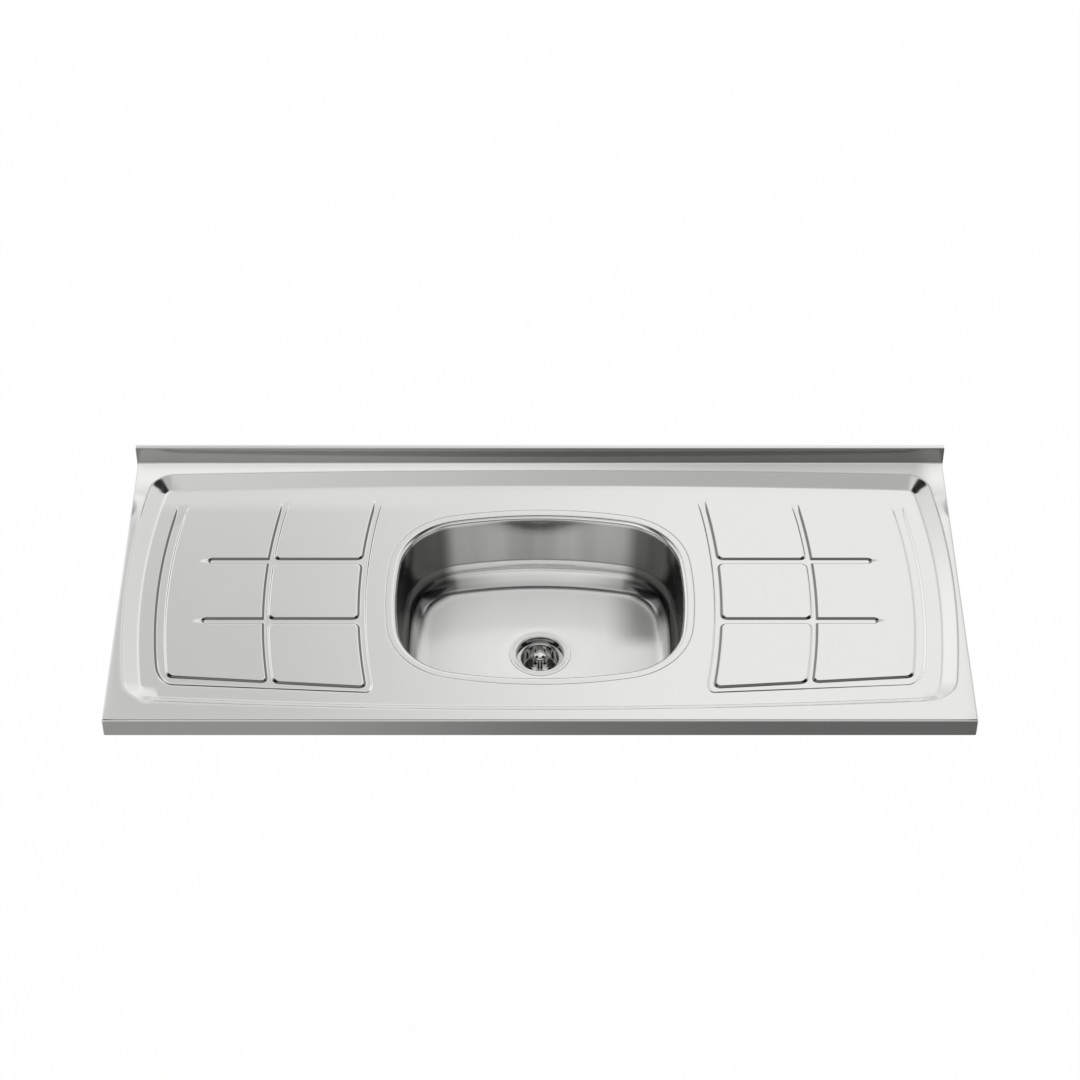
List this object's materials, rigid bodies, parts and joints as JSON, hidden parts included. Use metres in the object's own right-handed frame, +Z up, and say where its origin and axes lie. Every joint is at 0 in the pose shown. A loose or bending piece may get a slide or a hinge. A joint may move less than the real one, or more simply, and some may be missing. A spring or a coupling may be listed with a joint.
{
  "type": "sink countertop",
  "caption": "Pressed stainless lay-on sink countertop with central bowl, embossed drainboards, rear upstand and lift-out basket strainer.",
  "frame": {"origin": "middle of the back face's lower edge, on the plane of the wall and of the cabinet's top", "axes": "+X to the right along the length, seen from the front; +Y towards the wall; +Z up"},
  "size_m": [1.2, 0.53, 0.2438],
  "materials": {
    "sheet_steel": "fine satin brushed stainless steel",
    "bowl_steel": "smooth satin drawn stainless steel",
    "strainer_steel": "bright polished stainless steel",
    "pine": "sawn pine, unfinished",
    "particle_board": "raw particle board",
    "damping_sheet": "black bitumen damping sheet",
    "seal_rubber": "matt black rubber",
    "stopper_rubber": "matt black rubber",
    "drain_plastic": "white moulded polypropylene",
    "hub_brass": "turned brass"
  },
  "bodies": {
    "countertop": {"top_sheet": "sheet_steel", "bowl": "bowl_steel", "front_batten": "pine", "rear_batten": "pine", "right_end_batten": "pine", "left_end_batten": "pine", "right_cross_batten": "pine", "left_cross_batten": "pine", "right_drainer_board": "particle_board", "left_drainer_board": "particle_board", "right_damping_pad": "damping_sheet", "left_damping_pad": "damping_sheet", "drain_cup": "strainer_steel", "flange_seal": "seal_rubber", "body_seal": "seal_rubber", "drain_body": "drain_plastic", "hub_insert": "hub_brass", "clamp_screw": "strainer_steel"},
    "stem": {"basket_knob": "strainer_steel", "stem_washer": "strainer_steel", "stopper": "stopper_rubber", "stem_nut": "hub_brass"},
    "basket": {"basket": "strainer_steel"}
  },
  "joints": [
    {"name": "basket_lift", "type": "slide", "parent": "countertop", "child": "stem", "axis": [0, 0, 1], "range_m": [0, 0.25]},
    {"name": "basket_turn", "type": "hinge", "parent": "stem", "child": "basket", "pos_m": [0, -0.277, -0.134], "axis": [0, 0, 1], "continuous": true}
  ]
}
